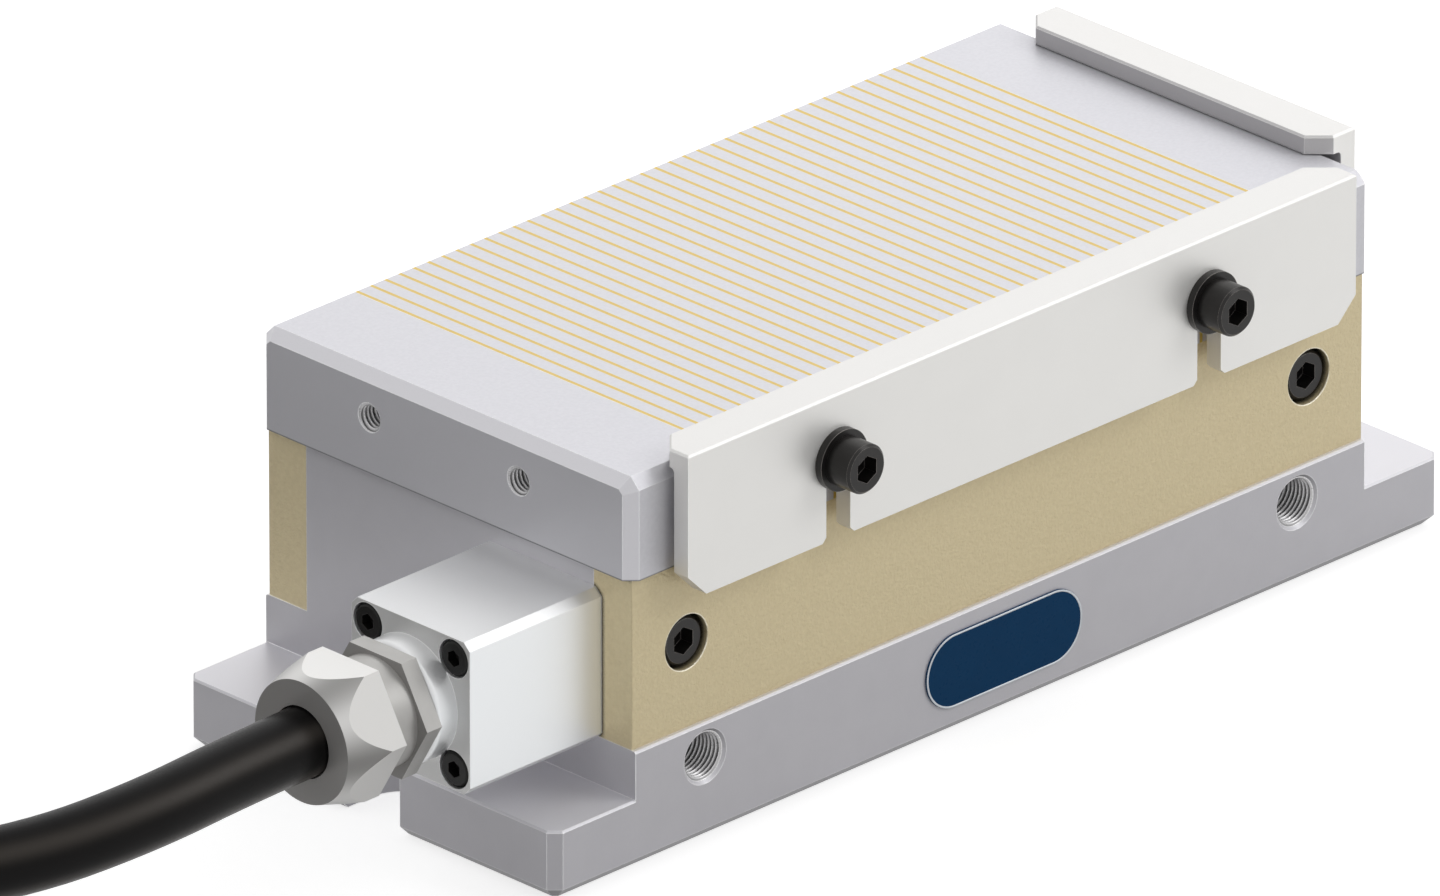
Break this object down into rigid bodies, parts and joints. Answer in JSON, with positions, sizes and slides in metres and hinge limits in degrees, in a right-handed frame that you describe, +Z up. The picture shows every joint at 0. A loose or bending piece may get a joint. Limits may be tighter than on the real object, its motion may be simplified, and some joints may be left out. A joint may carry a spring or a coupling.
{
  "type": "magnetic chuck",
  "caption": "Rectangular electro-permanent magnetic chuck with a laminated pole plate, height-adjustable stop rails, clamping flanges and a coiled cable with a connector.",
  "frame": {"origin": "centre of the base underside, on the machine table", "axes": "+Z up through the work face, +X along the chuck away from the cable, -Y towards the long stop rail"},
  "size_m": [0.4625, 0.2682, 0.085],
  "materials": {
    "base_steel": "fine ground",
    "plate_steel": "fine ground",
    "strip_brass": "fine ground",
    "cover_brass": "satin, fine grained",
    "rail_steel": "satin",
    "black_oxide": "black oxide",
    "box_aluminium": "satin anodised",
    "nickel": "nickel plated",
    "cable_black": "matt",
    "seal_rubber": "matt",
    "badge_blue": "satin",
    "magnet_alloy": "ground",
    "magnet_nickel": "nickel plated",
    "copper_wire": "enamelled",
    "wire_plastic": "smooth",
    "bobbin_plastic": "moulded",
    "potting_resin": "cast",
    "terminal_plastic": "moulded",
    "plug_metal": "powder coated",
    "contact_metal": "plated"
  },
  "bodies": {
    "chuck_body": {"base_body": "base_steel", "side_cover_front": "cover_brass", "side_cover_back": "cover_brass", "side_cover_screws": "black_oxide", "plate_block_cable_end": "plate_steel", "plate_block_stop_end": "plate_steel", "brass_strips": "strip_brass", "steel_lamellae": "plate_steel", "pole_plate_screws": "black_oxide", "side_stop_washers": "black_oxide", "side_stop_spacers": "black_oxide", "end_stop_washers": "black_oxide", "end_stop_spacers": "black_oxide", "alnico_cores": "magnet_alloy", "coil_bobbins": "bobbin_plastic", "coil_windings": "copper_wire", "pole_shoes": "base_steel", "neodymium_magnets": "magnet_nickel", "coil_links": "copper_wire", "coil_leads": "wire_plastic", "resin_fill": "potting_resin", "connection_box": "box_aluminium", "box_screws": "black_oxide", "box_seal_ring": "seal_rubber", "terminal_block": "terminal_plastic", "gland_body": "nickel", "gland_dome_nut": "nickel", "gland_seal": "seal_rubber", "cable_sheath_end": "cable_black", "cable_cores": "wire_plastic", "cable_run": "cable_black", "cable_coil": "cable_black", "cable_tail": "cable_black", "name_plate": "badge_blue", "plug_gland_nut": "nickel", "plug_hood": "plug_metal", "plug_insert": "terminal_plastic", "plug_contacts": "contact_metal"},
    "side_rail": {"side_stop_rail": "rail_steel"},
    "end_rail": {"end_stop_rail": "rail_steel"},
    "side_screw_near": {"side_clamp_screw_near": "black_oxide"},
    "side_screw_far": {"side_clamp_screw_far": "black_oxide"},
    "end_screw_front": {"end_clamp_screw_front": "black_oxide"},
    "end_screw_back": {"end_clamp_screw_back": "black_oxide"}
  },
  "joints": [
    {"name": "side_stop_slide", "type": "slide", "parent": "chuck_body", "child": "side_rail", "axis": [0, 0, 1], "range_m": [0, 0.012]},
    {"name": "end_stop_slide", "type": "slide", "parent": "chuck_body", "child": "end_rail", "axis": [0, 0, 1], "range_m": [0, 0.012]},
    {"name": "side_screw_near_turn", "type": "hinge", "parent": "chuck_body", "child": "side_screw_near", "pos_m": [-0.05, -0.0569, 0.0716], "axis": [0, -1, 0], "continuous": true},
    {"name": "side_screw_far_turn", "type": "hinge", "parent": "chuck_body", "child": "side_screw_far", "pos_m": [0.05, -0.0569, 0.0716], "axis": [0, -1, 0], "continuous": true},
    {"name": "end_screw_front_turn", "type": "hinge", "parent": "chuck_body", "child": "end_screw_front", "pos_m": [0.1069, -0.02, 0.0716], "axis": [1, 0, 0], "continuous": true},
    {"name": "end_screw_back_turn", "type": "hinge", "parent": "chuck_body", "child": "end_screw_back", "pos_m": [0.1069, 0.02, 0.0716], "axis": [1, 0, 0], "continuous": true}
  ]
}
